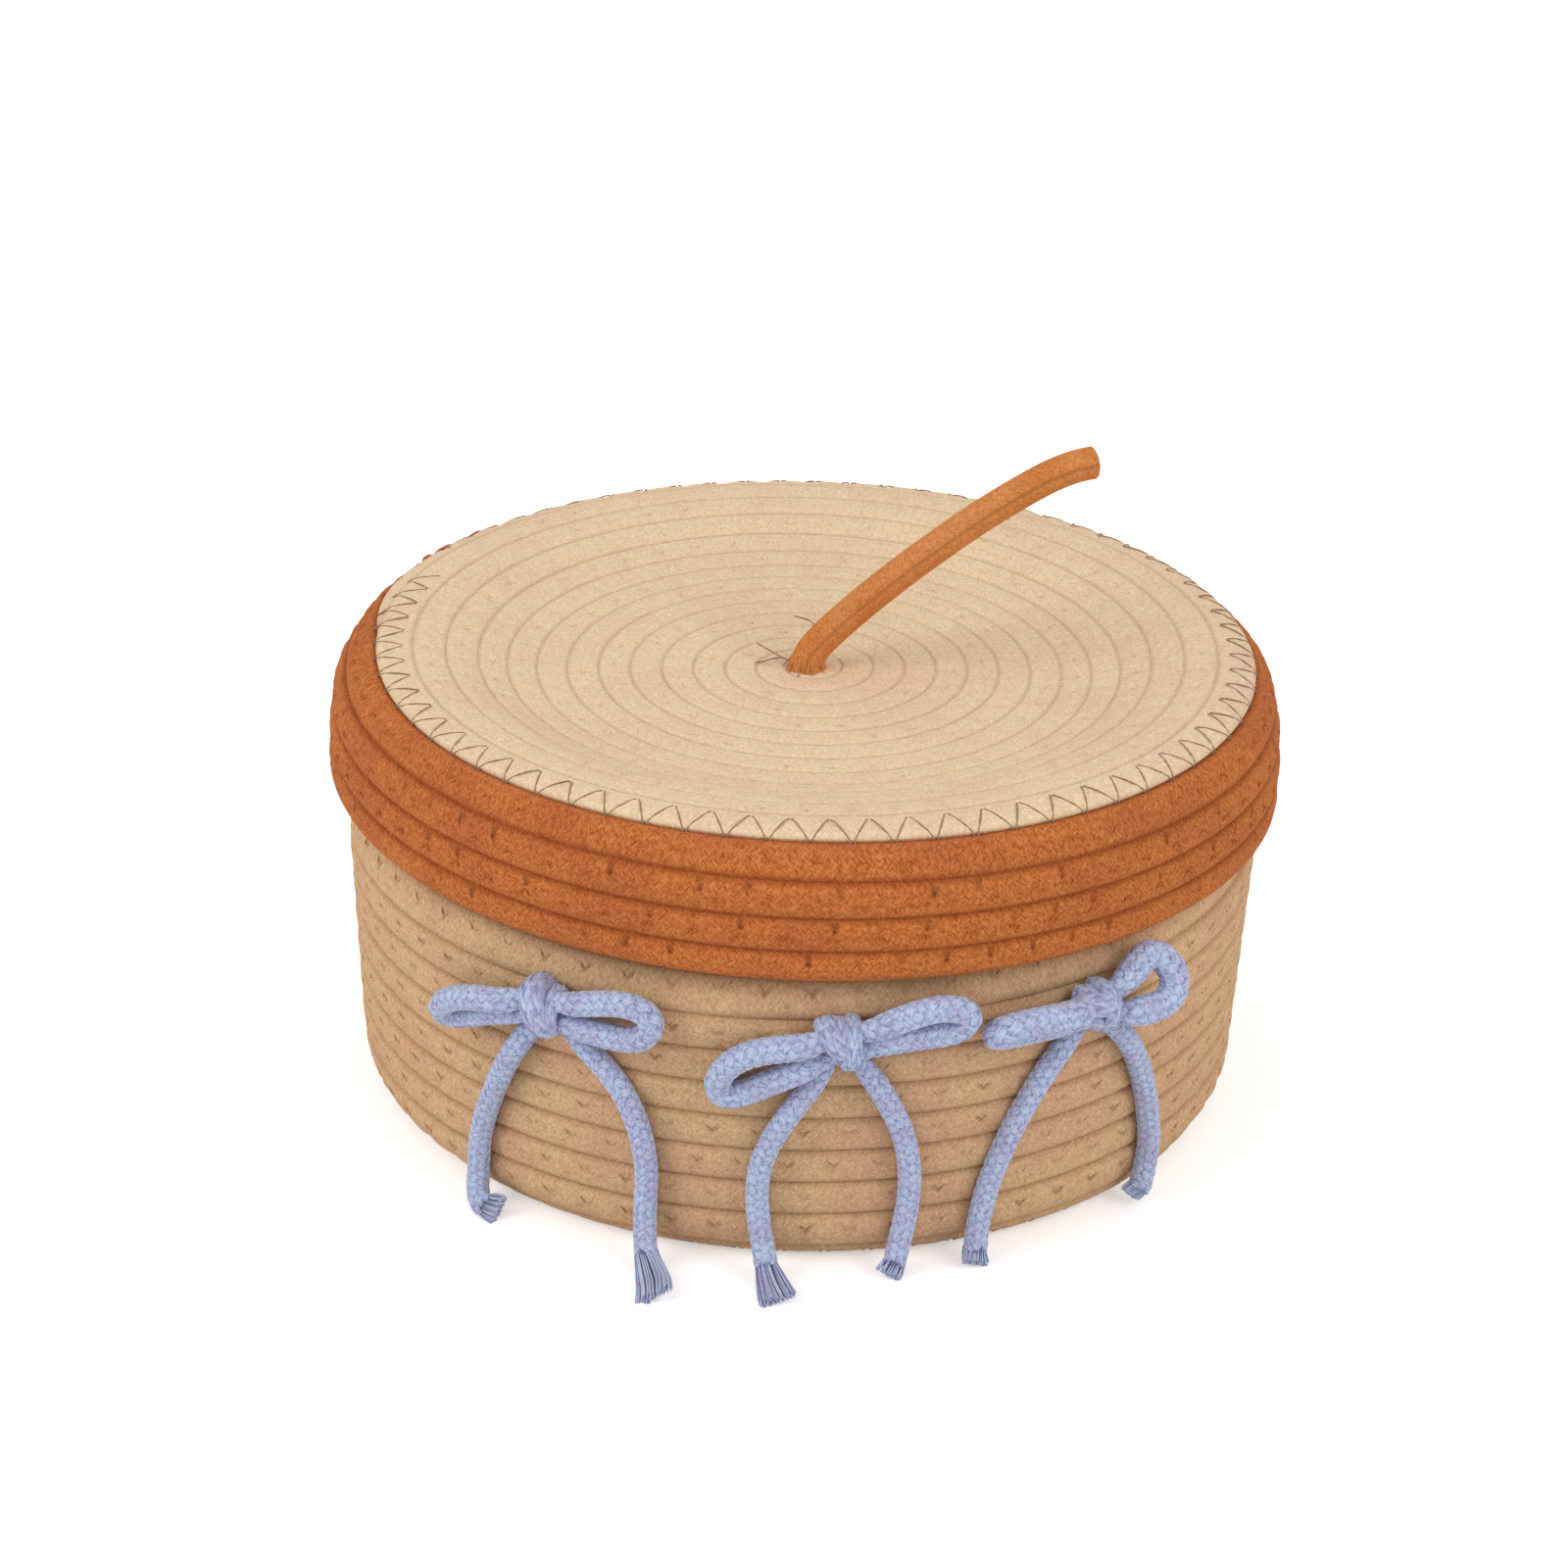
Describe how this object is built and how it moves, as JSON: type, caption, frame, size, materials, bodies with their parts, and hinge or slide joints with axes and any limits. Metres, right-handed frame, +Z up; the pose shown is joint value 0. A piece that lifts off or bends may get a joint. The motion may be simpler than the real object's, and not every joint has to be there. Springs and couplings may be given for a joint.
{
  "type": "lidded rope basket",
  "caption": "Round low basket wound and sewn from cream cotton rope, with a lift-off lid that has a rust rim and a rope stem, and blue cord bows tied to its front.",
  "frame": {"origin": "under the middle of the basket's base, on the surface that it stands on", "axes": "+Z up through the lid, -Y towards the front where the bows are tied, +X to the right seen from the front"},
  "size_m": [0.2352, 0.2455, 0.1672],
  "materials": {
    "cream_rope": "soft undyed cotton rope, matt and slightly fuzzy, sewn course to course",
    "rust_rope": "soft cotton rope dyed rust orange, matt and slightly fuzzy",
    "blue_cord": "braided pale blue cotton cord, matt"
  },
  "bodies": {
    "basket": {"basket_base": "cream_rope", "basket_wall": "cream_rope", "bow_left_knot": "blue_cord", "bow_left_loop_left": "blue_cord", "bow_left_loop_right": "blue_cord", "bow_left_tail_left": "blue_cord", "bow_left_tail_right": "blue_cord", "bow_middle_knot": "blue_cord", "bow_middle_loop_left": "blue_cord", "bow_middle_loop_right": "blue_cord", "bow_middle_tail_left": "blue_cord", "bow_middle_tail_right": "blue_cord", "bow_right_knot": "blue_cord", "bow_right_loop_left": "blue_cord", "bow_right_loop_right": "blue_cord", "bow_right_tail_left": "blue_cord", "bow_right_tail_right": "blue_cord"},
    "lid": {"lid_disc": "cream_rope", "lid_rim": "rust_rope", "stem": "rust_rope"}
  },
  "joints": [
    {"name": "lid_lift", "type": "slide", "parent": "basket", "child": "lid", "axis": [0, 0, 1], "range_m": [0, 0.15]}
  ]
}
